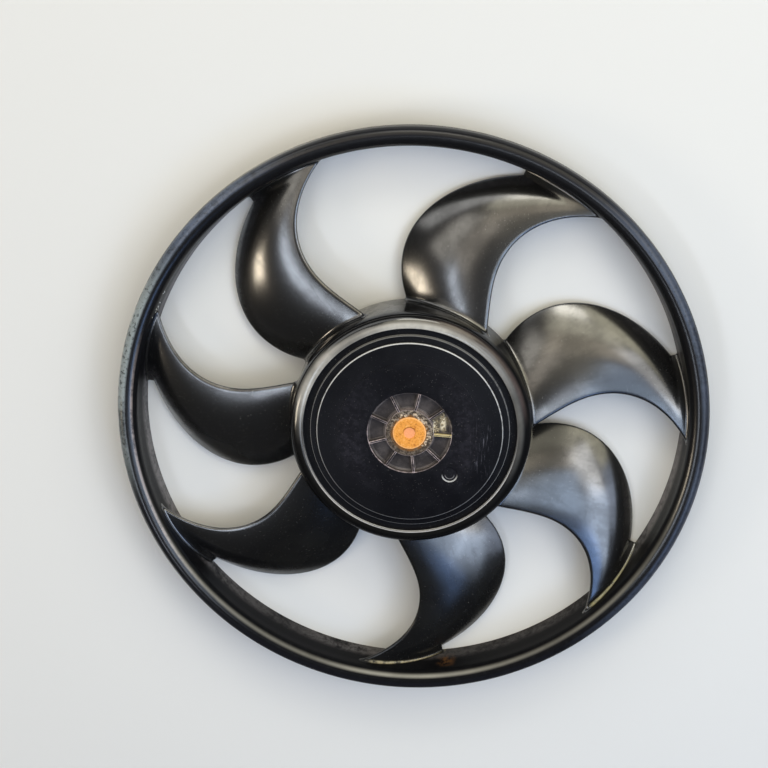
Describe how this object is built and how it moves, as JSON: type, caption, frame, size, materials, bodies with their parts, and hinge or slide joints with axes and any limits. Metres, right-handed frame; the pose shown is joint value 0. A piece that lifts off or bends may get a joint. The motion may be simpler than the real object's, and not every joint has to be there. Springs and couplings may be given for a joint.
{
  "type": "axial fan impeller",
  "caption": "Ring-tipped axial fan impeller with swept twisted blades, a closed-front hub cup and a pressed-in steel bush for a motor shaft.",
  "frame": {"origin": "on the wheel's axis, in the plane of the ring's rear edge, on which the wheel lies", "axes": "+Z along the wheel's axis toward the closed front of the hub; +X through the root of the blade at angle zero"},
  "size_m": [0.39, 0.39, 0.0482],
  "materials": {
    "moulding": "satin black moulded plastic, dusty and scuffed at the ring",
    "bush_steel": "turned steel with light orange surface rust"
  },
  "bodies": {
    "root": {"impeller": "moulding", "hub_bush": "bush_steel"}
  },
  "joints": []
}
